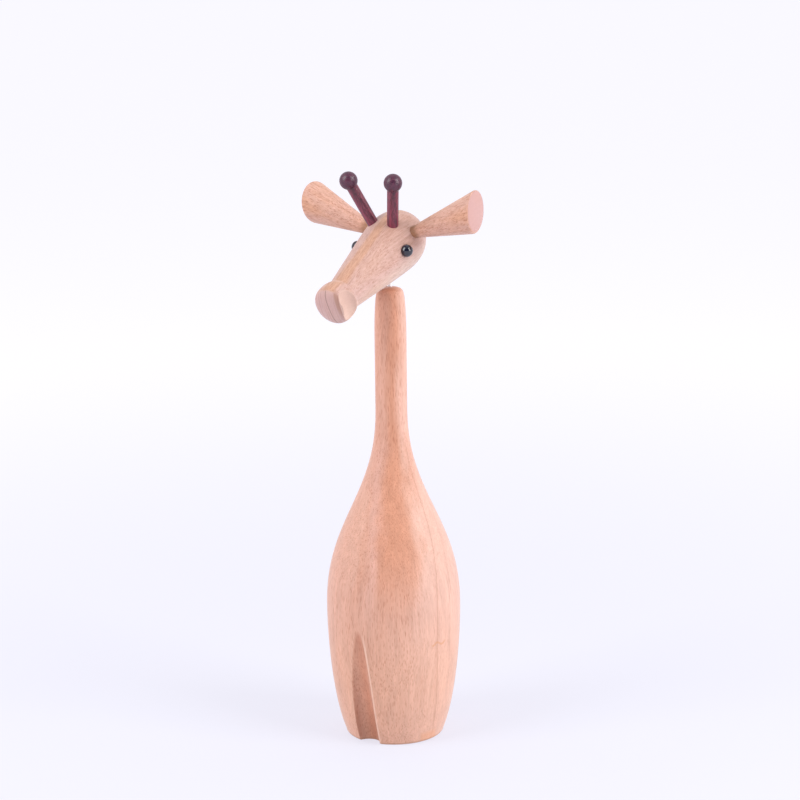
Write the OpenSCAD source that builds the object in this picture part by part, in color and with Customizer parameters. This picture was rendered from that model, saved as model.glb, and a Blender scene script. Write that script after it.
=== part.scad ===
// Carved giraffe figurine: a turned bottle-shaped body with a long neck and a separate turned head
// that swivels on a steel pin. Units are mm, +Z up, the muzzle points along -Y.

/* [Body] */
// Diameter of the foot where it meets the table
foot_d = 48.6; // [40:0.1:60]
// Largest diameter of the belly
belly_d = 67.2; // [50:0.1:80]
// Height of the largest diameter
belly_z = 67.4; // [50:0.1:80]
// Diameter half way up the shoulder
shoulder_d = 40.7; // [30:0.1:50]
// Height of that shoulder diameter
shoulder_z = 117.4; // [100:0.1:125]
// Steepness of the shoulder there, as radius lost per mm of height
shoulder_slope = 0.47; // [0.3:0.01:0.6]
// Diameter of the neck where it leaves the shoulder
neck_low_d = 15.8; // [12:0.1:20]
// Height at which the neck becomes straight
neck_low_z = 167.4; // [150:0.1:180]
// Largest diameter near the top of the neck
neck_high_d = 15.8; // [12:0.1:20]
// Height of the domed top of the neck
neck_top_z = 227.9; // [200:0.1:250]
// Rounding of the foot edge
foot_edge = 1.5; // [0.5:0.1:4]

/* [Leg grooves] */
// Radius of the round-nosed groove that parts the legs, front and back
groove_r = 6.0; // [4:0.1:9]
// Distance from the body axis to the groove bottom at the table
groove_foot = 19.5; // [14:0.1:23]
// Lean of the groove bottom from upright
groove_tilt = 15.8; // [5:0.1:25]
// The same distance for the shallower run-out, which takes over higher up
runout_foot = 24.4; // [22:0.1:28]
// Lean of the run-out from upright
runout_tilt = 8.8; // [4:0.1:12]
// Turn of the grooves about the body axis
groove_turn = 2.2; // [-5:0.1:5]

/* [Neck pin] */
// Diameter of the steel swivel pin
pin_d = 2; // [1.5:0.1:4]
// Depth the pin is glued into the neck
pin_sunk = 15; // [8:0.5:25]
// Length of pin above the neck
pin_up = 16; // [10:0.5:20]
// Running clearance of the pin in the head, on the radius
pin_play = 0.05; // [0.02:0.01:0.1]

/* [Head] */
// Downward pitch of the head axis, degrees
head_pitch = 25.1; // [0:0.1:45]
// Largest radius of the skull
skull_r = 14.9; // [12:0.05:20]
// Length of the round back of the head, behind the skull centre
skull_len = 14.2; // [12:0.1:20]
// Distance of the skull centre behind the neck axis
skull_back = 6.2; // [0:0.1:8]
// Height of the skull centre
skull_z = 250.2; // [240:0.1:260]
// Radius lost per mm along the straight part of the snout
snout_slope = 0.154; // [0.05:0.001:0.3]
// Distance from the skull centre to the snout waist
snout_at = 50; // [35:0.5:55]
// Largest radius of the muzzle
muzzle_r = 9.95; // [8:0.05:13]
// Distance from the skull centre to where the muzzle's front starts to round over
muzzle_at = 56.6; // [50:0.1:65]
// Length of the muzzle's rounded front
muzzle_front = 6.2; // [2:0.1:10]
// Squareness of the muzzle's front: 2 is an ellipse, larger is flatter with a tighter edge
muzzle_square = 3.4; // [2:0.1:6]
// Radius of the scoop on the left of the muzzle
scoop_r = 7; // [4:0.1:20]
// Distance from the middle of the muzzle to that scoop, at its deepest
scoop_half = 6.2; // [5:0.05:9]
// Distance from the skull centre to the deepest point of that scoop
scoop_at = 59.2; // [52:0.1:60]
// Radius of the shallower scoop on the right of the muzzle
scoop_right_r = 8; // [4:0.1:20]
// Distance from the middle of the muzzle to the right scoop, at its deepest
scoop_right_half = 8.5; // [5:0.05:9.5]
// Distance from the skull centre to the deepest point of the right scoop
scoop_right_at = 57; // [52:0.1:60]

/* [Ears] */
// Diameter of an ear where it meets the head
ear_root_d = 6.4; // [4:0.1:8]
// Half angle of the ear's cone, degrees
ear_cone = 11; // [6:0.1:18]
// Length of the ear's axis outside the head
ear_len = 35.7; // [25:0.1:45]
// Upward angle of an ear, degrees
ear_rise = 17.6; // [0:0.1:40]
// Backward sweep of an ear, degrees
ear_sweep = 2.4; // [-10:0.1:30]
// Upward angle of the obliquely cut end face, degrees
ear_face_rise = -1; // [-20:0.5:30]
// Backward sweep of the end face, degrees
ear_face_sweep = 8.5; // [-10:0.5:30]
// Rounding of the end face's rim
ear_edge = 1.4; // [0.5:0.1:3]
// Ear root forward of the skull centre, along the head axis
ear_fwd = 1.1; // [-5:0.1:8]
// Ear root above the head axis
ear_high = 6.2; // [0:0.1:10]

/* [Horns] */
// Diameter of the horn stalk
horn_d = 5.6; // [4:0.1:8]
// Diameter of the ball at the tip
ball_d = 8.9; // [7:0.1:12]
// Distance from the head surface to the ball centre
horn_len = 24.1; // [18:0.1:32]
// Outward lean of each horn, degrees
horn_splay = 17; // [0:0.1:30]
// Horn root forward of the skull centre, along the head axis
horn_fwd = 6.7; // [0:0.1:12]
// Horn root to either side of the middle
horn_side = 5.9; // [4:0.1:10]

/* [Eyes] */
// Diameter of the bead
eye_d = 6.1; // [4:0.1:9]
// How far the bead's centre stands out from the head surface
eye_out = 0.65; // [-1:0.1:2]
// Eye forward of the skull centre, along the head axis
eye_fwd = 12.6; // [6:0.1:20]
// Eye above the head axis
eye_high = 2.5; // [0:0.1:6]

/* [Hidden] */

beech = "#E0AA8C";
beech_pale = "#E8C1AE";
dark_wood = "#5A2A38";
gloss_black = "#101018";
steel = "#B8BCC0";

tenon_d = 4;
tenon_len = 6;
ear_below = 1;
ear_above = 0.8;
horn_below = 1.1;
eye_shank_d = 2;
eye_shank_len = 5;

// Point t along the cubic Bezier curve with the control points p0 to p3
function bez(p0, p1, p2, p3, t) =
  pow(1 - t, 3) * p0 + 3 * t * pow(1 - t, 2) * p1 + 3 * t * t * (1 - t) * p2 + t * t * t * p3;
function curve(p, n) = [for (i = [1:n]) bez(p[0], p[1], p[2], p[3], i / n)];
function arc(c, r, a0, a1, n) = [for (i = [0:n]) c + r * [cos(a0 + (a1 - a0) * i / n), sin(a0 + (a1 - a0) * i / n)]];

foot_r = foot_d / 2;
belly_r = belly_d / 2;
shoulder_r = shoulder_d / 2;
neck_r = neck_low_d / 2;
neck_hi_r = neck_high_d / 2;

// Foot to belly, belly to shoulder, shoulder to neck, straight of the neck, its taper, its domed top
belly_low = [[foot_r + 0.5, foot_edge], [belly_r - 3.6, 14], [belly_r, belly_z - 26], [belly_r, belly_z]];
belly_high = [
  [belly_r, belly_z],
  [belly_r, belly_z + 21],
  [shoulder_r + 15 * shoulder_slope, shoulder_z - 15],
  [shoulder_r, shoulder_z]
];
shoulder = [
  [shoulder_r, shoulder_z],
  [shoulder_r - 20 * shoulder_slope, shoulder_z + 20],
  [neck_r, neck_low_z - 18],
  [neck_r, neck_low_z]
];
neck = [
  [neck_r, neck_low_z],
  [neck_r, neck_low_z + 14],
  [neck_hi_r, neck_top_z - 34],
  [neck_hi_r, neck_top_z - 22]
];
neck_taper = [
  [neck_hi_r, neck_top_z - 22],
  [neck_hi_r - 0.05, neck_top_z - 16],
  [neck_hi_r - 0.35, neck_top_z - 9],
  [neck_hi_r - 0.75, neck_top_z - 5.6]
];
neck_dome = [
  [neck_hi_r - 0.75, neck_top_z - 5.6],
  [neck_hi_r - 1.3, neck_top_z - 1.4],
  [neck_hi_r - 1.6, neck_top_z],
  [0, neck_top_z]
];

module body_blank() {
  rotate_extrude($fn = 96)
    polygon(concat(
      [[0, 0], [foot_r - foot_edge + 0.4, 0]],
      arc([foot_r - foot_edge + 0.5, foot_edge], foot_edge, -85, 0, 5),
      curve(belly_low, 14),
      curve(belly_high, 12),
      curve(shoulder, 12),
      curve(neck, 6),
      curve(neck_taper, 5),
      curve(neck_dome, 12)
    ));
}

// A round-nosed cutter lies along the sloping groove bottom, and a second one along its shallower run-out
module groove_cut(foot, tilt) {
  translate([0, -(foot + groove_r), 0])
    rotate([tilt, 0, 0])
      translate([0, 0, -20])
        cylinder(h = 110, r = groove_r, $fn = 64);
}

module leg_groove() {
  groove_cut(groove_foot, groove_tilt);
  groove_cut(runout_foot, runout_tilt);
}

module body() {
  color(beech)
    difference() {
      body_blank();
      for (side = [0, 180])
        rotate([0, 0, side + groove_turn])
          leg_groove();
      translate([0, 0, neck_top_z - pin_sunk])
        cylinder(h = pin_sunk + 5, d = pin_d, $fn = 32);
    }
}

module neck_pin() {
  color(steel)
    translate([0, 0, neck_top_z - pin_sunk])
      cylinder(h = pin_sunk + pin_up, d = pin_d, $fn = 32);
}

// Where the skull is widest, and the length over which the straight snout takes over from there
skull_wide = 2.5;
skull_soft = 5;
// Radius of the head at the distance a along its axis, up to the snout waist
function head_r(a) =
  a < skull_wide
    ? skull_r * pow(1 - pow((skull_wide - a) / (skull_wide + skull_len), 2), 0.4)
    : skull_r - snout_slope * (a - skull_wide - skull_soft * (1 - exp((skull_wide - a) / skull_soft)));
// Angle of the head's surface to its axis at the distance a
function head_lean(a) = atan((head_r(a - 0.1) - head_r(a + 0.1)) / 0.2);
// Distance from the head's middle plane to its surface, at a along the axis and b above it
function head_side(a, b) = sqrt(pow(head_r(a), 2) - b * b);

snout_r = head_r(snout_at);
// Round back of the head, from its pole to where the skull is widest
skull_back_curve = [
  for (i = [0:22])
    let (a = skull_wide - (skull_wide + skull_len) * cos(90 * i / 22))
      [head_r(max(a, 0.0001 - skull_len)), a]
];
skull_front_curve = [for (x = [1.5, 3, 5, 7.5, 10.5, 14.5, 20]) [head_r(skull_wide + x), skull_wide + x]];
// Snout waist flaring into the muzzle
flare = [
  [snout_r, snout_at],
  [snout_r - 0.18, snout_at + 1.2],
  [muzzle_r - 0.25, snout_at + 1.8],
  [muzzle_r, snout_at + 6]
];
// The muzzle's front, a rounded square-shouldered dome
muzzle_curve = [
  for (i = [0:14])
    [
      muzzle_r * pow(cos(90 * i / 14), 2 / muzzle_square),
      muzzle_at + muzzle_front * pow(sin(90 * i / 14), 2 / muzzle_square)
    ]
];

// Head frame: +Z runs forward along the head axis, +Y towards the brow, +X to the giraffe's left
module on_head() {
  translate([0, skull_back, skull_z])
    rotate([90 + head_pitch, 0, 0])
      children();
}

module head_blank() {
  rotate_extrude($fn = 96)
    polygon(concat(
      [[0, -skull_len]],
      skull_back_curve,
      skull_front_curve,
      [[snout_r, snout_at]],
      curve(flare, 10),
      muzzle_curve
    ));
}

// Round drum of the radius r that scoops one side of the muzzle to half from its middle, at a along the axis
module muzzle_scoop(s, r, half, a) {
  translate([s * (half + r), 0, a])
    rotate([90, 0, 0])
      cylinder(h = 60, r = r, center = true, $fn = 96);
}

// Unit vector pointing up by rise and back by sweep on the side s
function toward(s, rise, sweep) = [s * cos(rise) * cos(sweep), cos(rise) * sin(sweep), sin(rise)];
// Ear root on the head surface
function ear_root(s) = [
  s * head_side(ear_fwd, ear_high),
  skull_back - ear_fwd * cos(head_pitch) - ear_high * sin(head_pitch),
  skull_z - ear_fwd * sin(head_pitch) + ear_high * cos(head_pitch)
];

// Places an ear's axis on +Z with its root on the head surface, s = 1 for the left
module on_ear(s) {
  translate(ear_root(s))
    aim(s, ear_rise, ear_sweep)
      children();
}

// Places a horn's axis on +Z with its root on the head surface, s = 1 for the left
module on_horn(s) {
  on_head()
    translate([s * horn_side, head_side(horn_fwd, horn_side), horn_fwd])
      rotate([-90, 0, -s * horn_splay])
        children();
}

// Places an eye's axis on +Z, square to the head surface, s = 1 for the left
module on_eye(s) {
  eye_side = head_side(eye_fwd, eye_high);
  on_head()
    translate([s * eye_side, eye_high, eye_fwd])
      rotate([0, s * (90 - head_lean(eye_fwd)), s * atan2(eye_high, eye_side)])
        children();
}

// Glued tenon with a short shoulder of the diameter d, which hides the joint with the round head
module tenon(d, below, above) {
  translate([0, 0, -tenon_len])
    cylinder(h = tenon_len, d = tenon_d, $fn = 32);
  translate([0, 0, -below])
    cylinder(h = below + above, d = d, $fn = 48);
}

// Glass bead with its glued wire shank
module bead() {
  translate([0, 0, eye_out])
    sphere(d = eye_d, $fn = 48);
  translate([0, 0, -eye_shank_len])
    cylinder(h = eye_shank_len, d = eye_shank_d, $fn = 32);
}

// The ear's straight cone on its tenon, longer than needed
module ear_cone_blank() {
  far = ear_len + 14;
  translate([0, 0, -tenon_len])
    cylinder(h = tenon_len, d = tenon_d, $fn = 32);
  rotate_extrude($fn = 64)
    polygon([
      [0, -ear_below],
      [ear_root_d / 2, -ear_below],
      [ear_root_d / 2, ear_above],
      [ear_root_d / 2 + far * tan(ear_cone), far],
      [0, far]
    ]);
}

// Rounded plug, face outwards on +Z, whose rim softens the edge of the ear's end face
module ear_face_plug() {
  face_r = ear_root_d / 2 + ear_len * tan(ear_cone) + 0.1;
  rotate_extrude($fn = 64)
    polygon(concat(
      [[0, -60], [40, -60], [40, -24]],
      curve([
        [face_r + 0.8, -2 * ear_edge],
        [face_r + 0.1, -0.8 * ear_edge],
        [face_r - 0.5 * ear_edge, -0.1 * ear_edge],
        [face_r - 1.4 * ear_edge, 0]
      ], 6),
      [[0, 0.3]]
    ));
}

// Turns +Z to point up by rise and back by sweep on the side s
module aim(s, rise, sweep) {
  rotate([0, s * (90 - rise), s * sweep])
    children();
}

module ear(s) {
  color(beech)
    intersection() {
      on_ear(s)
        ear_cone_blank();
      translate(ear_root(s) + ear_len * toward(s, ear_rise, ear_sweep))
        aim(s, ear_face_rise, ear_face_sweep)
          ear_face_plug();
    }
}

module horn(s) {
  color(dark_wood)
    on_horn(s)
      union() {
        tenon(horn_d, horn_below, horn_len - horn_below);
        translate([0, 0, horn_len])
          sphere(d = ball_d, $fn = 48);
      }
}

module eye(s) {
  color(gloss_black)
    on_eye(s)
      bead();
}

module head() {
  color(beech_pale)
    difference() {
      on_head()
        difference() {
          head_blank();
          muzzle_scoop(1, scoop_r, scoop_half, scoop_at);
          muzzle_scoop(-1, scoop_right_r, scoop_right_half, scoop_right_at);
        }
      for (s = [-1, 1]) {
        on_ear(s)
          tenon(ear_root_d, ear_below, 5);
        on_horn(s)
          tenon(horn_d, horn_below, 5);
        on_eye(s)
          bead();
      }
      translate([0, 0, neck_top_z])
        cylinder(h = pin_up, r = pin_d / 2 + pin_play, $fn = 32);
    }
}

body();
neck_pin();
head();
ear(1);  // ear_left
ear(-1);  // ear_right
horn(1);  // horn_left
horn(-1);  // horn_right
eye(1);  // eye_left
eye(-1);  // eye_right
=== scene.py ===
import math
from functools import reduce
from types import SimpleNamespace

import bpy
import numpy as np
from mathutils import Matrix, Vector


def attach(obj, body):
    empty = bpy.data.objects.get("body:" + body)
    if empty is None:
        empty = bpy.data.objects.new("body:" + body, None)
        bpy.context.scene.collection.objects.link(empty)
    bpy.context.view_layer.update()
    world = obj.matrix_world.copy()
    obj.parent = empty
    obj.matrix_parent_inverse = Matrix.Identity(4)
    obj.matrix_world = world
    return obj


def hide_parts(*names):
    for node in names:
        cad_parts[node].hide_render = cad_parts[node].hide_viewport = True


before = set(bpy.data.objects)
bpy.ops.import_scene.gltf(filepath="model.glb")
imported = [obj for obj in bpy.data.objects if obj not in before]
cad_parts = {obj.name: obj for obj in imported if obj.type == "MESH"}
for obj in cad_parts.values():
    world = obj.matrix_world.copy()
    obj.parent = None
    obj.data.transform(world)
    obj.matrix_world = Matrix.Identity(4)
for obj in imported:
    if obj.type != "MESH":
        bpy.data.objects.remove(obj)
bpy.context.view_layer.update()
scene = bpy.context.scene
MM = 0.001

# ---------------------------------------------------------------- dimensions, in mm, as in the CAD part
FOOT_R, FOOT_EDGE = 24.3, 1.5
BELLY_R, BELLY_Z = 33.6, 67.4
SHOULDER_R, SHOULDER_Z, SHOULDER_SLOPE = 20.35, 117.4, 0.47
NECK_R, NECK_LOW_Z, NECK_HI_R, NECK_TOP_Z = 7.9, 167.4, 7.9, 227.9
GROOVE_R, GROOVE_TURN = 6.0, 2.2
# Each cut's distance of the groove bottom from the axis at the table, and the bottom's lean in degrees
GROOVE_CUTS = ((19.5, 15.8), (24.4, 8.8))
PIN_R, PIN_SUNK, PIN_UP = 1.0, 15.0, 16.0
HEAD_PITCH, SKULL_BACK, SKULL_Z = 25.1, 6.2, 250.2
SKULL_R, SKULL_LEN, SKULL_WIDE, SKULL_SOFT = 14.9, 14.2, 2.5, 5.0
SNOUT_SLOPE, SNOUT_AT = 0.154, 50.0
MUZZLE_R, MUZZLE_AT, MUZZLE_FRONT, MUZZLE_SQUARE = 9.95, 56.6, 6.2, 3.4
# Radius of each drum-shaped scoop, its distance from the head's axis and its place along it
LEFT_SCOOP, RIGHT_SCOOP = (7.0, 6.2, 59.2), (8.0, 8.5, 57.0)
EAR_ROOT_R, EAR_CONE, EAR_LEN, EAR_RISE, EAR_SWEEP = 3.2, 11.0, 35.7, 17.6, 2.4
EAR_FACE_RISE, EAR_FACE_SWEEP, EAR_FWD, EAR_HIGH = -1.0, 8.5, 1.1, 6.2
EAR_BELOW, EAR_ABOVE, EAR_FAR = 1.0, 0.8, 49.7
HORN_R, BALL_R, HORN_LEN, HORN_SPLAY, HORN_FWD, HORN_SIDE, HORN_BELOW = 2.8, 4.45, 24.1, 17.0, 6.7, 5.9, 1.1
EYE_R, EYE_OUT, EYE_FWD, EYE_HIGH = 3.05, 0.65, 12.6, 2.5

# ---------------------------------------------------------------- sizes that only the finished meshes have, in mm
GROOVED_BELOW = 70.0  # no groove reaches higher
SPREAD_FROM, SPREAD_TO = 66.0, 100.0  # the body's points ease from close in the grooves to evenly spread
GROOVE_NICK = 0.5  # rounding where a groove meets the foot
DOME_FROM = 204.0  # the neck's top narrows from here
MUZZLE_FROM = 49.0  # closer rings from here forward
GROOVE_SOFT, JOIN_SOFT, SCOOP_SOFT = 0.6, 1.5, 0.35  # rounding at a groove's rim, between its cuts, at a scoop
EAR_RIM = 1.9  # width of the rounding round an ear's end face
EAR_CROWN = 0.3  # how far that face domes
PIN_BEVEL = 0.2


def rot(axis, degrees):
    return Matrix.Rotation(math.radians(degrees), 4, axis)


def at(x, y, z):
    return Matrix.Translation((x, y, z))


# Head frame: +Z forward along the head, +Y towards the brow, +X to the giraffe's left
HEAD = at(0, SKULL_BACK, SKULL_Z) @ rot("X", 90 + HEAD_PITCH)


# ---------------------------------------------------------------- outlines
def bezier(points, n):
    p = np.array(points, float)
    t = np.linspace(0, 1, n + 1)[:, None]
    weights = (1 - t) ** 3, 3 * t * (1 - t) ** 2, 3 * t * t * (1 - t), t**3
    return sum(w * point for w, point in zip(weights, p))


def evenly(points, steps):
    """The polyline resampled so that neighbours are about steps(point) apart."""
    p = np.array(points, float)
    seg = np.linalg.norm(np.diff(p, axis=0), axis=1)
    keep = np.concatenate([[True], seg > 1e-7])
    p = p[keep]
    seg = np.linalg.norm(np.diff(p, axis=0), axis=1)
    mid = (p[1:] + p[:-1]) / 2
    weight = np.concatenate([[0], np.cumsum(seg / np.array([steps(m) for m in mid]))])
    n = max(2, int(round(weight[-1])))
    s = np.linspace(0, weight[-1], n + 1)
    return np.stack([np.interp(s, weight, p[:, i]) for i in range(p.shape[1])], 1)


def body_outline():
    """Radius and height up the turned body, from the foot's rounded edge to the middle of the neck's top."""
    edge = [
        (FOOT_R - FOOT_EDGE + 0.5 + FOOT_EDGE * math.cos(a), FOOT_EDGE + FOOT_EDGE * math.sin(a))
        for a in np.radians(np.linspace(-85, 0, 12))
    ]
    belly, shoulder = (BELLY_R, BELLY_Z), (SHOULDER_R, SHOULDER_Z)
    top = NECK_TOP_Z - 22
    neck_low, neck_high = (NECK_R, NECK_LOW_Z), (NECK_HI_R, top)
    dome_edge = (NECK_HI_R - 0.75, top + 16.4)
    curves = (
        (60, (FOOT_R + 0.5, FOOT_EDGE), (BELLY_R - 3.6, 14), (BELLY_R, BELLY_Z - 26), belly),
        (60, belly, (BELLY_R, BELLY_Z + 21), (SHOULDER_R + 15 * SHOULDER_SLOPE, SHOULDER_Z - 15), shoulder),
        (60, shoulder, (SHOULDER_R - 20 * SHOULDER_SLOPE, SHOULDER_Z + 20), (NECK_R, NECK_LOW_Z - 18), neck_low),
        (30, neck_low, (NECK_R, NECK_LOW_Z + 14), (NECK_HI_R, top - 12), neck_high),
        (40, neck_high, (NECK_HI_R - 0.05, top + 6), (NECK_HI_R - 0.35, top + 13), dome_edge),
        (80, dome_edge, (NECK_HI_R - 1.3, top + 20.6), (NECK_HI_R - 1.6, NECK_TOP_Z), (0, NECK_TOP_Z)),
    )
    return np.concatenate([edge, *(bezier(points, steps) for steps, *points in curves)])


def body_step(point):
    """Distance between the body's rings."""
    z = point[1]
    if z < FOOT_EDGE:
        return 0.25
    if z < GROOVED_BELOW:
        return 1.0
    return 1.8 if z < DOME_FROM else 0.9


def head_r(a):
    """The head's turned radius at a place along its axis, behind the muzzle's flare."""
    a = np.asarray(a, float)
    back = SKULL_R * np.maximum(0, 1 - ((SKULL_WIDE - a) / (SKULL_WIDE + SKULL_LEN)) ** 2) ** 0.4
    past = np.maximum(a - SKULL_WIDE, 0)
    front = SKULL_R - SNOUT_SLOPE * (past - SKULL_SOFT * (1 - np.exp(-past / SKULL_SOFT)))
    return np.where(a < SKULL_WIDE, back, front)


def head_outline():
    """Radius and place along the axis, from the back of the skull to the middle of the muzzle's front."""
    turn = np.radians(np.linspace(0, 90, 90))
    back_a = SKULL_WIDE - (SKULL_WIDE + SKULL_LEN) * np.cos(turn)
    back = np.stack([head_r(back_a), back_a], 1)
    back[0, 0] = 0
    straight = np.linspace(SKULL_WIDE + 0.5, SNOUT_AT, 100)
    front = np.stack([head_r(straight), straight], 1)
    waist = float(head_r(SNOUT_AT))
    flare = bezier(
        [
            (waist, SNOUT_AT),
            (waist - 0.18, SNOUT_AT + 1.2),
            (MUZZLE_R - 0.25, SNOUT_AT + 1.8),
            (MUZZLE_R, SNOUT_AT + 6),
        ],
        50,
    )
    e = 2 / MUZZLE_SQUARE
    dome = np.stack([MUZZLE_R * np.cos(turn) ** e, MUZZLE_AT + MUZZLE_FRONT * np.sin(turn) ** e], 1)
    dome[-1, 0] = 0
    return np.concatenate([back, front, flare, dome])


def head_side(a, b):
    """How far out the head's surface is on one side, at a along its axis, where the other offset is b."""
    return math.sqrt(float(head_r(a)) ** 2 - b * b)


# ---------------------------------------------------------------- mesh building
def soft_max(f, g, k):
    """The larger of two signed distances, rounded over a width k where they cross."""
    h = np.maximum(k - np.abs(f - g), 0) / k
    return np.maximum(f, g) + h * h * k / 4


def settle(points, field, rounds=6):
    """Moves points onto the surface field = 0, along the field's gradient."""
    p = points.copy()
    e = 1e-4
    for _ in range(rounds):
        f = field(p)
        grad = np.stack([(field(p + d) - field(p - d)) / (2 * e) for d in np.eye(3) * e], -1)
        p -= grad * (f / np.maximum((grad**2).sum(-1), 0.05))[..., None]
    return p


def skin(name, rings, first, last):
    """A closed smooth mesh from rings of points, in mm, with a fan of faces to a pole point at each end."""
    rings = np.asarray(rings, float)
    count, around = rings.shape[:2]
    verts = rings.reshape(-1, 3).tolist()
    faces = []
    for i in range(count - 1):
        for j in range(around):
            k = (j + 1) % around
            faces.append((i * around + j, i * around + k, (i + 1) * around + k, (i + 1) * around + j))
    for pole, base, flip in ((first, 0, True), (last, (count - 1) * around, False)):
        verts.append(list(pole))
        tip = len(verts) - 1
        for j in range(around):
            a, b = base + j, base + (j + 1) % around
            faces.append((b, a, tip) if flip else (a, b, tip))
    mesh = bpy.data.meshes.new(name)
    mesh.from_pydata([[c * MM for c in v] for v in verts], [], faces)
    mesh.validate()
    mesh.update()
    mesh.shade_smooth()
    return mesh


def crease(mesh, degrees):
    """Keeps edges sharper than this angle crisp in the shading."""
    mesh.set_sharp_from_angle(angle=math.radians(degrees))


def lathe(outline, around):
    """Rings of points about Z from an outline of radius and height."""
    turn = np.linspace(0, 2 * math.pi, around, endpoint=False)
    r, z = outline[:, :1], outline[:, 1:]
    height = np.broadcast_to(z, (len(outline), around))
    return np.stack([r * np.cos(turn), r * np.sin(turn), height], -1)


def piece(name, mesh, local, body, node, look):
    """Places a mesh made in a local frame given in mm, and ties it to its CAD body, node and material slot."""
    obj = bpy.data.objects.new(name, mesh)
    scene.collection.objects.link(obj)
    world = local.copy()
    world.translation = local.translation * MM
    obj.matrix_world = world
    obj.data.materials.append(look)
    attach(obj, body)
    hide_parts(node)


def groove_cuts(z):
    """The groove's half width at height z and, for each cut, the middle's distance from the axis and half depth.

    A level slice through a leaning round cutter is an ellipse. The nick widens it at the foot.
    """
    nick = GROOVE_NICK - math.sqrt(max(0, GROOVE_NICK**2 - max(0, GROOVE_NICK - z) ** 2))
    cuts = []
    for start, lean in GROOVE_CUTS:
        tilt = math.radians(lean)
        cuts.append((start + GROOVE_R + z * math.tan(tilt), GROOVE_R / math.cos(tilt) + nick))
    return GROOVE_R + nick, cuts


def groove_rim(r, a, b, c):
    """The angle from the groove's middle to its rim on a body of radius r, by halving."""
    low, high = 0.0, math.radians(60)
    if c - b < r:
        for _ in range(40):
            mid = (low + high) / 2
            inside = (r * math.sin(mid) / a) ** 2 + ((c - r * math.cos(mid)) / b) ** 2 < 1
            low, high = (mid, high) if inside else (low, mid)
    return low


def body_ring(r, z):
    """One level ring of the body, with more points in the grooves and at their rims."""
    in_groove, outside, least = 16, 26, math.radians(4)
    a, cuts = groove_cuts(z)
    c, b = min(cuts, key=lambda cut: cut[0] - cut[1])
    rim = groove_rim(r, a, b, c)
    s = 1 - (1 - np.arange(in_groove + 1) / in_groove) ** 1.7
    if rim > least:
        psi = math.atan2(r * math.sin(rim) / a, (c - r * math.cos(rim)) / b) * s
        inner = np.stack([a * np.sin(psi), c - b * np.cos(psi)], 1)
    else:
        rim = least
        inner = np.stack([r * np.sin(rim * s), r * np.cos(rim * s)], 1)
    phi = rim + (math.pi / 2 - rim) * (np.arange(1, outside + 1) / outside) ** 1.6
    quarter = np.concatenate([inner, np.stack([r * np.sin(phi), r * np.cos(phi)], 1)])

    # Above the grooves the points spread out evenly
    ease = min(1, max(0, (z - SPREAD_FROM) / (SPREAD_TO - SPREAD_FROM)))
    ease = ease * ease * (3 - 2 * ease)
    if ease > 0:
        even = np.linspace(0, math.pi / 2, len(quarter))
        turn = np.arctan2(quarter[:, 0], quarter[:, 1]) * (1 - ease) + even * ease
        quarter = np.stack([r * np.sin(turn), r * np.cos(turn)], 1)
    x, y = quarter[:, 0], quarter[:, 1]
    half = np.concatenate([np.stack([x, -y], 1), np.stack([x, y], 1)[-2::-1]])
    ring = np.concatenate([half, (half * [-1, 1])[-2:0:-1]])

    def field(p):
        solid = np.hypot(p[:, 0], p[:, 1]) - r
        holes = []
        for c, b in cuts:
            inside = 1 - np.sqrt((p[:, 0] / a) ** 2 + ((np.abs(p[:, 1]) - c) / b) ** 2)
            holes.append(inside * (a + b) / 2)
        return soft_max(solid, soft_max(*holes, JOIN_SOFT), GROOVE_SOFT)

    if z < GROOVED_BELOW:
        flat = np.concatenate([ring, np.zeros((len(ring), 1))], 1)
        ring = settle(flat, field)[:, :2]
    ring = ring @ np.array(rot("Z", -GROOVE_TURN).to_2x2())
    return np.concatenate([ring, np.full((len(ring), 1), z)], 1)


def body_mesh():
    """The turned body, with the round-nosed grooves that part the legs front and back and softened groove rims."""
    outline = evenly(body_outline(), body_step)
    rings = [body_ring(r, z) for r, z in outline[:-1]]

    # The flat foot starts a little inside the lowest ring
    foot = rings[0].copy()
    foot[:, 2] = 0
    foot[:, :2] *= (1 - 0.25 / np.hypot(foot[:, 0], foot[:, 1]))[:, None]
    inner = [foot * [k, k, 1] for k in (0.35, 0.7)]
    mesh = skin("giraffe_body", [*inner, foot, *rings], (0, 0, 0), (0, 0, NECK_TOP_Z))
    crease(mesh, 50)
    return mesh


def head_mesh():
    """The turned head and muzzle with a drum-shaped scoop in each side of the muzzle."""
    table = head_outline()
    outline = evenly(table, lambda point: 0.25 if point[1] > MUZZLE_FROM else 0.85)[1:-1]
    tip = MUZZLE_AT + MUZZLE_FRONT
    order = np.argsort(table[:, 1], kind="stable")
    table_a, table_r = table[order, 1], table[order, 0]
    along_axis = np.linspace(-SKULL_LEN, tip, 1600)
    slope = np.gradient(np.interp(along_axis, table_a, table_r), along_axis)

    def field(p):
        a = p[..., 2]
        r = np.interp(a, table_a, table_r)
        lean = np.interp(a, along_axis, slope)
        solid = (np.hypot(p[..., 0], p[..., 1]) - r) / np.sqrt(1 + lean**2)
        for side, (radius, half, along) in ((1, LEFT_SCOOP), (-1, RIGHT_SCOOP)):
            drum = radius - np.hypot(side * p[..., 0] - half - radius, a - along)
            solid = soft_max(solid, drum, SCOOP_SOFT)
        return solid

    # The rings round the very tip stay as turned, since the scoops don't reach them
    rings = lathe(outline, 224)
    scooped = (outline[:, 1] > MUZZLE_FROM) & (outline[:, 1] < tip - 0.9)
    rings[scooped] = settle(rings[scooped], field, 8)
    return skin("giraffe_head", rings, (0, 0, -SKULL_LEN), (0, 0, tip))


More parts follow.
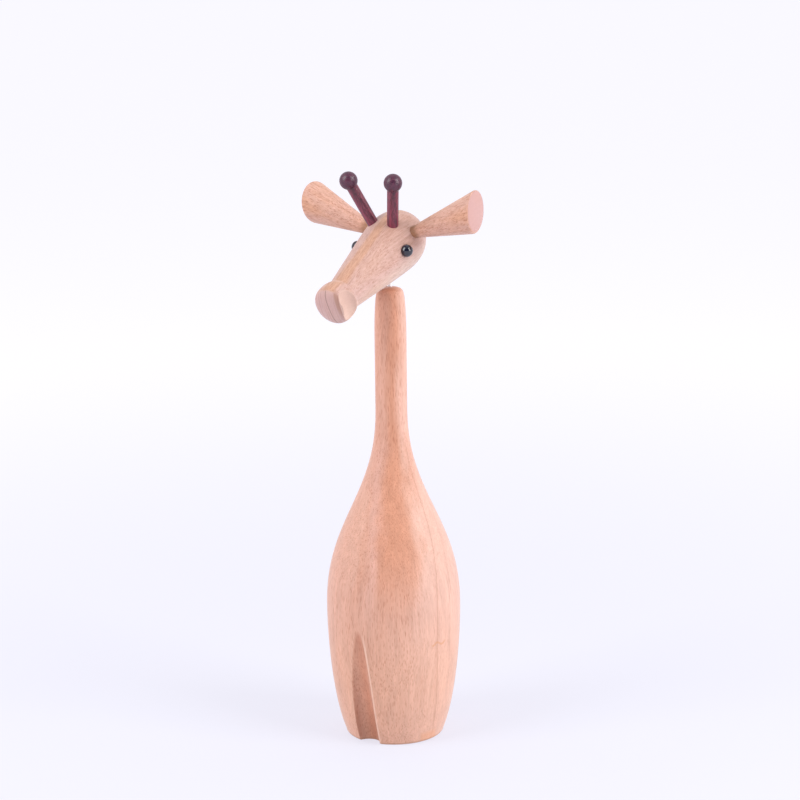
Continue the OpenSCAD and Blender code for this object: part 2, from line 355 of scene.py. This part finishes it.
def ear_mesh(s, local, around=128):
    """A cone with an obliquely cut end face and a rounded rim, in a frame with +Z along the ear."""
    rise, sweep = math.radians(EAR_FACE_RISE), math.radians(EAR_FACE_SWEEP)
    facing = Vector((s * math.cos(rise) * math.cos(sweep), math.cos(rise) * math.sin(sweep), math.sin(rise)))
    n = np.array(local.to_3x3().transposed() @ facing)
    centre = np.array([0, 0, EAR_LEN])
    grow = EAR_FAR * math.tan(math.radians(EAR_CONE)) / (EAR_FAR - EAR_ABOVE)
    base = EAR_ROOT_R - grow * EAR_ABOVE
    turn = np.linspace(0, 2 * math.pi, around, endpoint=False)
    out = np.stack([np.cos(turn), np.sin(turn), np.zeros(around)], 1)
    up = np.array([0, 0, 1.0])

    # Where each line up the cone meets the plane of the end face
    lean = out @ n
    far = (n[2] * EAR_LEN - lean * base) / (n[2] + lean * grow)
    edge = out * (base + grow * far)[:, None] + up * far[:, None]

    run = out * grow + up
    run /= np.linalg.norm(run, axis=1)[:, None]
    inward = centre - edge
    inward /= np.linalg.norm(inward, axis=1)[:, None]
    start, flat = edge - run * EAR_RIM, edge + inward * EAR_RIM
    root = out * EAR_ROOT_R + up * EAR_ABOVE
    rings = [out * EAR_ROOT_R * 0.6 - up * EAR_BELOW, out * EAR_ROOT_R - up * EAR_BELOW, root]
    rings += [root + (start - root) * t for t in np.linspace(0, 1, 34)[1:]]
    for t in np.linspace(0, 1, 9)[1:]:
        rings.append((1 - t) ** 2 * start + 2 * t * (1 - t) * edge + t * t * flat)
    for t in np.linspace(0, 1, 12)[1:-1]:
        rings.append(flat + (centre - flat) * t + n * EAR_CROWN * (1 - (1 - t) ** 2))
    name = f"giraffe_ear_{'left' if s > 0 else 'right'}"
    mesh = skin(name, rings, (0, 0, -EAR_BELOW), tuple(centre + n * EAR_CROWN))
    crease(mesh, 60)
    return mesh


def horn_mesh(name):
    """Stalk and ball turned in one piece, with a small cove where they meet."""
    meet = HORN_LEN - math.sqrt(BALL_R**2 - HORN_R**2)
    below = HORN_LEN - meet - 0.45
    turn = np.linspace(math.atan2(-below, math.sqrt(BALL_R**2 - below**2)), math.pi / 2, 40)
    ball = [(BALL_R * math.cos(a), HORN_LEN + BALL_R * math.sin(a)) for a in turn]
    cove = bezier([(HORN_R, meet - 0.7), (HORN_R, meet - 0.1), (HORN_R + 0.05, meet), ball[0]], 8)
    stalk = [(HORN_R, h) for h in np.linspace(-HORN_BELOW, meet - 0.8, 40)]
    outline = evenly(np.concatenate([stalk, cove, ball]), lambda point: 0.6 if point[1] < meet - 1 else 0.25)
    mesh = skin(name, lathe(outline[:-1], 64), (0, 0, -HORN_BELOW), (0, 0, HORN_LEN + BALL_R))
    crease(mesh, 60)
    return mesh


def eye_mesh(name):
    """A round bead."""
    turn = np.linspace(-math.pi / 2, math.pi / 2, 50)[1:-1]
    outline = np.stack([EYE_R * np.cos(turn), EYE_R * np.sin(turn)], 1)
    return skin(name, lathe(outline, 72), (0, 0, -EYE_R), (0, 0, EYE_R))


def pin_mesh():
    """A plain pin with its top edge broken."""
    length = PIN_SUNK + PIN_UP
    stem = [(PIN_R, h) for h in np.linspace(0, length - PIN_BEVEL, 24)]
    outline = np.array([*stem, (PIN_R - PIN_BEVEL, length)])
    mesh = skin("swivel_pin", lathe(outline, 32), (0, 0, 0), (0, 0, length))
    crease(mesh, 40)
    return mesh


# ---------------------------------------------------------------- seats on the head; s is 1 for left, -1 for right
def ear_place(s):
    pitch = math.radians(HEAD_PITCH)
    seat = at(
        s * head_side(EAR_FWD, EAR_HIGH),
        SKULL_BACK - EAR_FWD * math.cos(pitch) - EAR_HIGH * math.sin(pitch),
        SKULL_Z - EAR_FWD * math.sin(pitch) + EAR_HIGH * math.cos(pitch),
    )
    return seat @ rot("Z", s * EAR_SWEEP) @ rot("Y", s * (90 - EAR_RISE))


def horn_place(s):
    seat = HEAD @ at(s * HORN_SIDE, head_side(HORN_FWD, HORN_SIDE), HORN_FWD)
    return seat @ rot("Z", -s * HORN_SPLAY) @ rot("X", -90)


def eye_place(s):
    """A bead stands square to the skull's surface."""
    side = head_side(EYE_FWD, EYE_HIGH)
    step = 0.1
    lean = math.degrees(math.atan(float(head_r(EYE_FWD - step) - head_r(EYE_FWD + step)) / (2 * step)))
    seat = HEAD @ at(s * side, EYE_HIGH, EYE_FWD) @ rot("Z", s * math.degrees(math.atan2(EYE_HIGH, side)))
    return seat @ rot("Y", s * (90 - lean)) @ at(0, 0, EYE_OUT)


# ---------------------------------------------------------------- colours
def rgb(*c):
    return (*c, 1.0)


# A tint multiplies the colour it lies on
RING_TINT, FLECK_TINT = rgb(0.60, 0.42, 0.35), rgb(0.68, 0.46, 0.35)

BODY_GREYER, BODY_PALER = rgb(0.725, 0.41, 0.31), rgb(0.785, 0.49, 0.395)
STREAK, LOW_BELLY = rgb(0.635, 0.30, 0.192), rgb(0.785, 0.43, 0.275)
FLANK, ROSY_PAINTED_REFLECTION = rgb(0.655, 0.32, 0.215), rgb(0.76, 0.46, 0.40)
NECK_PAINTED_SHADOW, GROOVE_PAINTED_SHADE, GROOVE_FOOT_PAINTED_SHADE = rgb(0.82, 0.76, 0.72), rgb(0.80, 0.65, 0.58), rgb(0.75, 0.66, 0.58)
GROOVE_RIM_PAINTED_HIGHLIGHT, KNOT = rgb(0.95, 0.66, 0.52), rgb(0.72, 0.33, 0.17)
FOOT_PATCH, FOOT_EDGE_PAINTED_SHADE = rgb(0.82, 0.38, 0.20), rgb(0.42, 0.20, 0.11)

HEAD_ROSY, HEAD_TAN, BROW = rgb(0.595, 0.39, 0.345), rgb(0.58, 0.36, 0.295), rgb(0.585, 0.33, 0.22)
CHIN_PAINTED_LIGHT, COMB_TINT = rgb(1.14, 1.3, 1.27), rgb(0.78, 0.62, 0.57)
MUZZLE, MUZZLE_BROWN, SCOOP = rgb(0.60, 0.395, 0.385), rgb(0.42, 0.215, 0.145), rgb(0.69, 0.46, 0.37)
MUZZLE_RING = rgb(0.30, 0.17, 0.14)

EAR_ROSY, EAR_TAN = rgb(0.65, 0.395, 0.32), rgb(0.655, 0.355, 0.235)
EAR_END, EAR_ROOT_DARKER = rgb(0.56, 0.32, 0.30), rgb(0.33, 0.15, 0.07)

RED_DARK, RED_LIGHT = rgb(0.06, 0.011, 0.025), rgb(0.30, 0.046, 0.086)
RED_BALL, RED_PORE = rgb(0.050, 0.013, 0.040), rgb(0.03, 0.008, 0.012)
BEAD_DARK, BEAD_LIGHT = rgb(0.002, 0.003, 0.012), rgb(0.005, 0.006, 0.026)
STEEL_DARK, STEEL_LIGHT = rgb(0.80, 0.80, 0.81), rgb(0.95, 0.95, 0.96)

FLOOR_NEAR, FLOOR_FAR, FLOOR_MATT = rgb(0.64, 0.635, 0.72), rgb(0.825, 0.815, 0.89), rgb(0.22, 0.22, 0.235)
SKY_LIT, SKY_SEEN = rgb(0.97, 0.965, 1.0), rgb(0.965, 0.956, 1.0)


# ---------------------------------------------------------------- materials
AZIMUTH = 34.4  # the photograph was taken from this many degrees round to the giraffe's left
SIDE = rot("Z", AZIMUTH) @ Vector((1, 0, 0))
FRONT = rot("Z", AZIMUTH) @ Vector((0, -1, 0))
KNOT_SIDE, KNOT_Z = 22.0, 53.2
BODY_RING, BODY_SPACING = 27.2, 7.7  # the growth line's distance from the pith, and to the next
HEAD_RING = 62.6
GROOVE_MERGE = 2.25  # how softly the paint joins the two groove cuts


class Nodes:
    """Short calls for the node tree of a material or world. A value is a socket, a number or a tuple."""

    def __init__(self, owner):
        self.owner = owner
        owner.use_nodes = True
        self.tree = owner.node_tree
        self.tree.nodes.clear()

    def add(self, kind, inputs=(), **settings):
        node = self.tree.nodes.new("ShaderNode" + kind)
        for key, value in settings.items():
            setattr(node, key, value)
        for key, value in dict(inputs).items():
            if isinstance(value, bpy.types.NodeSocket):
                self.tree.links.new(value, node.inputs[key])
            else:
                node.inputs[key].default_value = value
        return node

    # Numbers
    def math(self, operation, a, b=0.0, clamp=False):
        return self.add("Math", {0: a, 1: b}, operation=operation, use_clamp=clamp).outputs[0]

    def plus(self, *values):
        return reduce(lambda a, b: self.math("ADD", a, b), values)

    def minus(self, a, b):
        return self.math("SUBTRACT", a, b)

    def times(self, *values):
        return reduce(lambda a, b: self.math("MULTIPLY", a, b), values)

    def absolute(self, value):
        return self.math("ABSOLUTE", value)

    def reach(self, x, y):
        """Length of the flat vector x, y."""
        return self.math("SQRT", self.plus(self.times(x, x), self.times(y, y)))

    def span(self, value, low, high, out_low=0.0, out_high=1.0, how="LINEAR"):
        node = self.add("MapRange", {0: value, 1: low, 2: high, 3: out_low, 4: out_high}, interpolation_type=how)
        return node.outputs[0]

    def ease(self, value, low, high, out_low=0.0, out_high=1.0):
        """span with soft ends."""
        return self.span(value, low, high, out_low, out_high, "SMOOTHSTEP")

    def near(self, value, centre, half, soft):
        """1 within half of centre, falling to 0 over soft; centre may be a socket."""
        return self.ease(self.absolute(self.minus(value, centre)), half, half + soft, 1.0, 0.0)

    # Places
    def vector(self, operation, a, b=(0, 0, 0)):
        node = self.add("VectorMath", {0: a, 1: b}, operation=operation)
        return node.outputs["Value" if operation in ("DISTANCE", "DOT_PRODUCT", "LENGTH") else "Vector"]

    def dot(self, a, direction):
        return self.vector("DOT_PRODUCT", a, tuple(direction))

    def parts(self, vector):
        return list(self.add("SeparateXYZ", {0: vector}).outputs)

    def place(self):
        """The place on the piece, in its own frame, in mm."""
        where = self.add("TexCoord").outputs["Object"]
        return self.add("VectorMath", {0: where, "Scale": 1 / MM}, operation="SCALE").outputs[0]

    def noise(self, where, scale, detail=2.0, rough=0.5, out="Fac"):
        where = self.vector("MULTIPLY", where, scale)
        inputs = {"Vector": where, "Scale": 1.0, "Detail": detail, "Roughness": rough}
        return self.add("TexNoise", inputs).outputs[out]

    # Colours and surfaces
    def grey(self, value):
        return self.add("CombineColor", {0: value, 1: value, 2: value}).outputs[0]

    def blend(self, factor, a, b, how="MIX"):
        return self.add("Mix", {0: factor, 6: a, 7: b}, data_type="RGBA", blend_type=how).outputs[2]

    def tint(self, factor, colour, by):
        return self.blend(factor, colour, by, "MULTIPLY")

    def bump(self, height, strength, distance):
        return self.add("Bump", {"Strength": strength, "Distance": distance, "Height": height}).outputs[0]

    def finished(self, shader, kind="Material"):
        """The material or world, with this shader as its surface."""
        self.add("Output" + kind, {"Surface": shader.outputs[0]})
        return self.owner

    def principled(self, inputs):
        return self.finished(self.add("BsdfPrincipled", inputs))


def new_material(name):
    return Nodes(bpy.data.materials.new(name))


def timber(n, pith, spacing, seed, first=0.0, wobble=1.0):
    """Common parts of a turned wood, as a namespace. Local +Z is the grain, and a ring boundary lies at first."""
    w = SimpleNamespace(place=n.place())
    p = n.vector("ADD", w.place, seed)
    bend = n.vector("SUBTRACT", n.noise(p, (0.03, 0.03, 0.02), 1.0, out="Color"), (0.5, 0.5, 0.5))
    w.p = n.vector("ADD", p, n.vector("MULTIPLY", bend, (9.0, 9.0, 0)))

    # Growth rings: distance from the pith, and a thin dark line at the end of each year
    wander = n.noise(p, (0.04, 0.04, 0.010), 3.0)
    away = n.vector("DISTANCE", n.vector("MULTIPLY", w.place, (1, 1, 0)), (*pith, 0))
    w.away = n.plus(away, n.span(wander, 0, 1, -wobble, wobble))
    phase = n.math("FRACT", n.math("DIVIDE", n.plus(w.away, 40 * spacing - first), spacing))
    w.late = n.times(n.math("POWER", phase, 12.0), n.span(phase, 0.97, 1.0, 1.0, 0.0))

    long = n.noise(w.p, (0.9, 0.9, 0.02), 3.0, 0.6)
    short = n.noise(w.p, (1.6, 1.6, 0.16), 2.0, 0.6)
    tiny = n.noise(w.p, (3.0, 3.0, 0.3), 1.0, 0.5)
    w.fibre = n.plus(n.times(long, 0.50), n.times(short, 0.26), n.times(tiny, 0.24))
    w.patch = n.noise(p, (0.09, 0.09, 0.016), 3.0)
    facing = n.parts(n.add("TexCoord").outputs["Normal"])[2]
    w.end = n.ease(n.absolute(facing), 0.62, 0.93)
    return w


def flecks(n, p, across, along, size, gate, seed=(0, 0, 0)):
    """Short dark spindles along the grain: the ends of the wood's rays. gate is the share left out."""
    where = n.vector("MULTIPLY", n.vector("ADD", p, seed), (1 / across, 1 / across, 1 / along))
    cells = n.add("TexVoronoi", {"Vector": where, "Scale": 1.0, "Randomness": 0.95}, feature="F1")
    spot = n.ease(cells.outputs["Distance"], size, size * 0.6)
    chosen = n.span(n.add("SeparateColor", {0: cells.outputs["Color"]}).outputs[0], gate, gate + 0.3)
    return n.times(spot, chosen)


def beech(name, look, **grain):
    """Sanded beech.

    look gives the colour before its rings and flecks, how strong rings, flecks and fibres are, and a function for
    what lies over them.
    """
    n = new_material(name)
    w = timber(n, **grain)
    colour, lines, spots, contrast, finish = look(n, w)
    fibre_dark = rgb(1 - 0.6 * contrast, 1 - contrast, 1 - 1.25 * contrast)
    fibre_light = rgb(*[1 + 0.75 * contrast] * 3)
    colour = n.tint(1.0, colour, n.blend(n.span(w.fibre, 0.34, 0.66), fibre_dark, fibre_light))
    colour = n.tint(n.math("MULTIPLY", w.late, lines, clamp=True), colour, RING_TINT)

    big = flecks(n, w.p, 0.6, 6.0, 0.35, 0.25)
    small = flecks(n, w.p, 0.48, 4.4, 0.34, 0.15, (31, 7, 3))
    mark = n.math("ADD", big, n.times(small, 0.8), clamp=True)
    mark = n.times(mark, spots, n.span(w.end, 0, 1, 1.0, 0.15))
    colour = finish(n.tint(mark, colour, FLECK_TINT))

    height = n.minus(n.times(w.fibre, 0.5), n.times(mark, 0.5))
    return n.principled(
        {
            "Base Color": colour,
            "Roughness": n.plus(n.span(w.fibre, 0.3, 0.7, 0.46, 0.60), n.times(mark, 0.12)),
            "Normal": n.bump(height, 0.35, 0.00012),
            "Specular IOR Level": 0.45,
            "IOR": 1.48,
            "Sheen Weight": 0.36,
            "Sheen Roughness": 0.35,
        }
    )


def groove_reach(n, x, y, z):
    """Distance from the middle of the groove's round cutter, where two leaning cuts merge."""
    gaps = []
    for start, lean in GROOVE_CUTS:
        c, s = math.cos(math.radians(lean)), math.sin(math.radians(lean))
        drop = n.minus(n.minus(n.times(y, c), n.times(z, s)), (start + GROOVE_R) * c)
        gaps.append(n.reach(x, drop))
    return n.add("Math", {0: gaps[0], 1: gaps[1], 2: GROOVE_MERGE}, operation="SMOOTH_MIN").outputs[0]


def body_look(n, w):
    """Greyer to one side, paler to the other, with a warm streak between that widens on the belly.

    A brown band and a pink painted reflection run down beside the streak, and a painted shadow darkens the neck
    under the head.
    """
    side = n.dot(w.place, SIDE)
    z = n.parts(w.place)[2]
    loose = n.plus(side, n.span(w.patch, 0.25, 0.75, -4.0, 4.0))
    colour = n.blend(n.ease(loose, -9.0, 17.0), BODY_GREYER, BODY_PALER)

    half = n.math("MINIMUM", n.span(z, 68, 100, 3.5, 8.0), n.span(z, 105, 165, 8.0, 1.0))
    gap = n.minus(n.absolute(n.minus(loose, 0.5)), half)
    streak = n.ease(gap, -1, n.span(z, 110, 165, 9.0, 5.5), 1, 0)
    colour = n.blend(n.times(streak, n.ease(z, 45, 108, 0.0, 0.95)), colour, STREAK)
    colour = n.blend(n.ease(z, 30, 85, 0.4, 0.0), colour, LOW_BELLY)

    flank = n.near(loose, n.span(z, 70, 150, -19.0, -6.5), 0.8, 3.2)
    colour = n.blend(n.times(flank, n.ease(z, 55, 95, 0.1, 0.55)), colour, FLANK)
    # Painted reflection: a soft pink band of light down the left of the streak.
    rosy_reflection = n.near(loose, n.span(z, 70, 150, -13.0, -5.5), 0.5, 6.0)
    rosy_reflection = n.times(rosy_reflection, n.ease(z, 60, 100, 0.0, 0.4), n.ease(z, 135, 165, 1.0, 0.2))
    colour = n.blend(rosy_reflection, colour, ROSY_PAINTED_REFLECTION)

    blotch = n.noise(w.p, (0.25, 0.25, 0.05))
    colour = n.tint(1.0, colour, n.grey(n.span(blotch, 0.3, 0.7, 0.95, 1.05)))
    # Painted shadow of the head, darkening the neck's top beneath it.
    shade = n.times(n.near(side, -2.5, 1.5, 3.5), n.ease(z, 180, 212, 0.0, 0.7))
    colour = n.tint(shade, colour, NECK_PAINTED_SHADOW)

    first = n.near(w.away, BODY_RING, 1.5, 0.5)
    second = n.times(n.near(w.away, BODY_RING + BODY_SPACING, 1.5, 0.5), 0.45)
    lines = n.times(n.plus(first, second), n.ease(side, 3, 9, 0.1, 0.62))
    spots = n.ease(loose, 4, 16, 0.6, 0.3)

    def finish(colour):
        """The grooves' painted shade and painted highlight on the lit rim, a knot beside the growth line, a warm
        patch and painted shade along the foot's edge.
        """
        turned = rot("Z", GROOVE_TURN)
        x = n.dot(w.place, turned @ Vector((1, 0, 0)))
        y = n.absolute(n.dot(w.place, turned @ Vector((0, 1, 0))))
        reach = groove_reach(n, x, y, z)
        inside = n.span(reach, GROOVE_R + 0.1, GROOVE_R + 0.35, 1.0, 0.0)
        # Painted shade inside the grooves, darkest towards the bottom and darker still near the foot.
        groove_shade = n.times(inside, n.span(n.near(x, 2.2, 1.2, 5.0), 0, 1, 0.35, 1.0))
        colour = n.tint(groove_shade, colour, GROOVE_PAINTED_SHADE)
        colour = n.tint(n.times(groove_shade, n.span(z, 4, 22, 0.8, 0.0)), colour, GROOVE_FOOT_PAINTED_SHADE)
        # Painted highlight: a bright thin line along the groove's rim, stronger on the lit side, fading out near
        # the groove's top.
        rim = n.times(n.near(reach, GROOVE_R + 0.6, 0.15, 0.3), n.span(x, -2, 2, 0.1, 0.6), n.span(z, 52, 60, 1, 0))
        colour = n.blend(rim, colour, GROOVE_RIM_PAINTED_HIGHLIGHT)

        front = n.span(n.dot(w.place, FRONT), 0, 5)
        wave = n.times(n.math("SINE", n.times(side, 1.4)), 0.7)
        knot = n.near(n.plus(z, wave), KNOT_Z, 0.25, 0.6)
        knot = n.times(knot, n.near(side, KNOT_SIDE, 2.6, 1.2), front)
        colour = n.blend(n.times(knot, 0.6), colour, KNOT)
        patch = n.times(n.near(side, 16.5, 3.0, 1.5), n.span(n.plus(z, blotch), 4.5, 7.0, 0.5, 0.0), front)
        colour = n.blend(patch, colour, FOOT_PATCH)
        # Painted shade along the foot's bottom edge.
        return n.blend(n.ease(z, 0.5, 1.8, 0.6, 0.0), colour, FOOT_EDGE_PAINTED_SHADE)

    return colour, lines, spots, 0.15, finish


def head_look(n, w):
    """Pale, with a tan stripe along the brow, and painted light from below that makes the underside lighter."""
    side, high, along = n.parts(w.place)
    pale = n.blend(n.ease(w.patch, 0.35, 0.65), HEAD_ROSY, HEAD_TAN)
    stripe = n.near(n.plus(side, n.span(w.patch, 0.3, 0.7, -1.5, 1.5)), 0.8, 1.6, 2.6)
    colour = n.blend(n.times(stripe, 0.8), pale, BROW)
    # Painted light from below: the underside is brightened.
    colour = n.tint(n.ease(high, 2, -7), colour, CHIN_PAINTED_LIGHT)
    lines = n.times(n.ease(n.absolute(side), 3, 10, 0.34, 0.12), n.span(w.end, 0, 1, 1.0, 2.2))

    def finish(colour):
        """Greyer, streaked end grain and a dark ring on the muzzle's front, and a clean cut in the left scoop."""
        radius, half, centre = LEFT_SCOOP
        reach = n.reach(n.minus(side, half + radius), n.minus(along, centre))
        scooped = n.times(n.span(reach, radius + 0.05, radius + 0.35, 1, 0), n.span(along, 51, 52, 0, 1))
        front = n.times(n.ease(along, 60.0, 61.2), n.minus(1.0, scooped))
        colour = n.blend(n.times(front, 0.72), colour, MUZZLE)
        beside = n.near(n.plus(side, n.times(high, 0.10)), 5.9, 0.3, 1.7)
        beside = n.times(beside, n.ease(high, -7, 2, 0.35, 0.75), front)
        colour = n.blend(beside, colour, MUZZLE_BROWN)
        colour = n.blend(n.times(scooped, 0.7), colour, SCOOP)
        comb = n.noise(w.place, (1.5, 0.1, 0.1), 2.0, 0.6)
        colour = n.tint(n.times(n.ease(comb, 0.50, 0.66, 0.0, 0.6), front), colour, COMB_TINT)
        middle = n.times(n.near(w.away, HEAD_RING, 0.10, 0.28), front, 0.75)
        return n.blend(middle, colour, MUZZLE_RING)

    return colour, lines, 0.5, 0.24, finish


def ear_look(n, w):
    """Rosy to tan."""
    z = n.parts(w.place)[2]
    colour = n.blend(n.ease(w.patch, 0.35, 0.65), EAR_ROSY, EAR_TAN)

    def finish(colour):
        """End grain on the cut face, and the root darker where it meets the head."""
        colour = n.blend(n.times(w.end, 0.8), colour, EAR_END)
        # Darker towards the root, where the ear meets the head.
        root = n.ease(n.plus(z, n.span(w.fibre, 0, 1, -1.5, 1.5)), 0.6, 4.5, 0.8, 0.0)
        return n.blend(root, colour, EAR_ROOT_DARKER)

    return colour, 0.5, 0.75, 0.26, finish


def dark_timber():
    """Dark red, oiled hardwood with open pores and an almost black ball."""
    n = new_material("dark_wood")
    w = timber(n, pith=(20.0, 6.0), spacing=1.5, seed=(44, 2, 8))
    colour = n.blend(n.ease(w.fibre, 0.36, 0.64), RED_DARK, RED_LIGHT)
    ball = n.ease(n.parts(w.place)[2], 19.5, 21.5, 0.0, 0.75)
    colour = n.blend(ball, colour, RED_BALL)
    pores = flecks(n, w.p, 0.6, 2.4, 0.34, 0.3)
    colour = n.blend(n.times(pores, 0.6), colour, RED_PORE)
    bump = n.bump(n.minus(w.fibre, pores), 0.4, 0.00010)
    rough = n.span(w.fibre, 0.3, 0.7, 0.30, 0.44)
    return n.principled({"Base Color": colour, "Roughness": rough, "Normal": bump, "Specular IOR Level": 0.6})


def bead_gloss():
    n = new_material("black_bead")
    haze = n.noise(n.place(), (1.2, 1.2, 1.2), 3.0)
    colour = n.blend(haze, BEAD_DARK, BEAD_LIGHT)
    rough = n.span(haze, 0.3, 0.7, 0.03, 0.07)
    return n.principled({"Base Color": colour, "Roughness": rough, "Specular IOR Level": 0.9})


def drawn_steel():
    n = new_material("steel_pin")
    lines = n.noise(n.place(), (9.0, 9.0, 0.25), 3.0)
    colour = n.blend(lines, STEEL_DARK, STEEL_LIGHT)
    bump = n.bump(lines, 0.3, 0.00003)
    rough = n.span(lines, 0.3, 0.7, 0.42, 0.58)
    return n.principled({"Base Color": colour, "Roughness": rough, "Metallic": 1.0, "Normal": bump})


body_wood = beech(
    "beech_body", body_look, pith=(13.1, -28.0), spacing=BODY_SPACING, seed=(3, 11, 40), first=BODY_RING
)
head_wood = beech(
    "beech_head", head_look, pith=(62.0, 8.0), spacing=1.9, seed=(60, 5, 17), first=HEAD_RING, wobble=0.5
)
ear_wood = beech("beech_ear", ear_look, pith=(30.0, 9.0), spacing=2.6, seed=(9, 71, 23), wobble=0.8)
horn_wood, bead, steel = dark_timber(), bead_gloss(), drawn_steel()

# ---------------------------------------------------------------- the pieces
piece("giraffe_body", body_mesh(), Matrix.Identity(4), "body", "body", body_wood)
piece("swivel_pin", pin_mesh(), at(0, 0, NECK_TOP_Z - PIN_SUNK), "body", "neck_pin", steel)
piece("giraffe_head", head_mesh(), HEAD, "head", "head", head_wood)

for s, side in ((1, "left"), (-1, "right")):
    ear, horn, eye = ear_place(s), f"horn_{side}_wood", f"eye_{side}_bead"
    piece(f"ear_{side}_wood", ear_mesh(s, ear), ear, "head", f"ear_{side}", ear_wood)
    piece(horn, horn_mesh(horn), horn_place(s), "head", f"horn_{side}", horn_wood)
    piece(eye, eye_mesh(eye), eye_place(s), "head", f"eye_{side}", bead)

# ---------------------------------------------------------------- camera at the photograph's viewing angle
DISTANCE, HEIGHT = 1.0, 0.3764  # from the figure's axis and above the table, in metres
PITCH, ROLL, YAW, LENS = 11.599, -0.629, -0.248, 92.82
yaw, pitch, roll = math.radians(YAW), math.radians(PITCH), math.radians(ROLL)
right = Vector((math.cos(yaw), math.sin(yaw), 0))
level = Vector((-math.sin(yaw), math.cos(yaw), 0))
forward = math.cos(pitch) * level - Vector((0, 0, math.sin(pitch)))
up = math.sin(pitch) * level + Vector((0, 0, math.cos(pitch)))
across, above = math.cos(roll) * right + math.sin(roll) * up, -math.sin(roll) * right + math.cos(roll) * up
aim = Matrix((across, above, -forward)).transposed().to_4x4()
aim.translation = (0, -DISTANCE, HEIGHT)
camera = bpy.data.objects.new("camera", bpy.data.cameras.new("camera"))
scene.collection.objects.link(camera)
camera.data.lens, camera.data.sensor_width = LENS, 36
camera.data.clip_start, camera.data.clip_end = 0.05, 200
camera.matrix_world = rot("Z", AZIMUTH) @ aim
scene.camera = camera

# ---------------------------------------------------------------- floor, light, sky
scene.view_settings.view_transform = "Standard"


def view_point(side, front, height):
    """A place given to the right of the picture, towards the camera and up, in metres."""
    return rot("Z", AZIMUTH) @ Vector((side, -front, height))


def floor_disc(radius=60.0, corners=128):
    """A table that glows a little, so that it meets the pale background without an edge."""
    mesh = bpy.data.meshes.new("floor")
    turn = np.linspace(0, 2 * math.pi, corners, endpoint=False)
    mesh.from_pydata([(radius * math.cos(a), radius * math.sin(a), 0) for a in turn], [], [tuple(range(corners))])
    obj = bpy.data.objects.new("floor", mesh)
    scene.collection.objects.link(obj)
    n = new_material("floor")
    spread = n.vector("LENGTH", n.add("TexCoord").outputs["Object"])
    glow = n.blend(n.ease(spread, 0.05, 1.2), FLOOR_NEAR, FLOOR_FAR)
    shine = n.add("Emission", {"Color": glow, "Strength": 1.0}).outputs[0]
    matt = n.add("BsdfDiffuse", {"Color": FLOOR_MATT}).outputs[0]
    obj.data.materials.append(n.finished(n.add("AddShader", {0: shine, 1: matt})))


def softbox(name, place, watts, wide=0.7, tall=1.3, target=(0, 0, 0.16)):
    light = bpy.data.lights.new(name, "AREA")
    light.shape, light.size, light.size_y = "RECTANGLE", wide, tall
    light.energy = watts
    obj = bpy.data.objects.new(name, light)
    scene.collection.objects.link(obj)
    obj.location = place
    obj.rotation_euler = (Vector(target) - Vector(place)).to_track_quat("-Z", "Y").to_euler()
    obj.visible_camera = False


def sky():
    """Light from behind and above; seen directly, an even pale wall."""
    scene.world = bpy.data.worlds.new("studio")
    n = Nodes(scene.world)
    way = n.add("TexCoord").outputs["Generated"]
    wall = n.ease(n.dot(way, view_point(0, 1, 0)), -0.35, 0.55, 0.95, 0.12)
    roof = n.ease(n.parts(way)[2], 0.55, 0.95, 0.0, 0.55)
    lit = n.add("Background", {"Color": SKY_LIT, "Strength": n.math("MAXIMUM", wall, roof)}).outputs[0]
    seen = n.add("Background", {"Color": SKY_SEEN, "Strength": 1.0}).outputs[0]
    ray = n.add("LightPath").outputs["Is Camera Ray"]
    n.finished(n.add("MixShader", {0: ray, 1: lit, 2: seen}), "World")


floor_disc()
softbox("softbox_right", view_point(1.05, 0.60, 0.85), 17.0)
softbox("softbox_left", view_point(-1.05, 0.55, 0.95), 13.5)
sky()
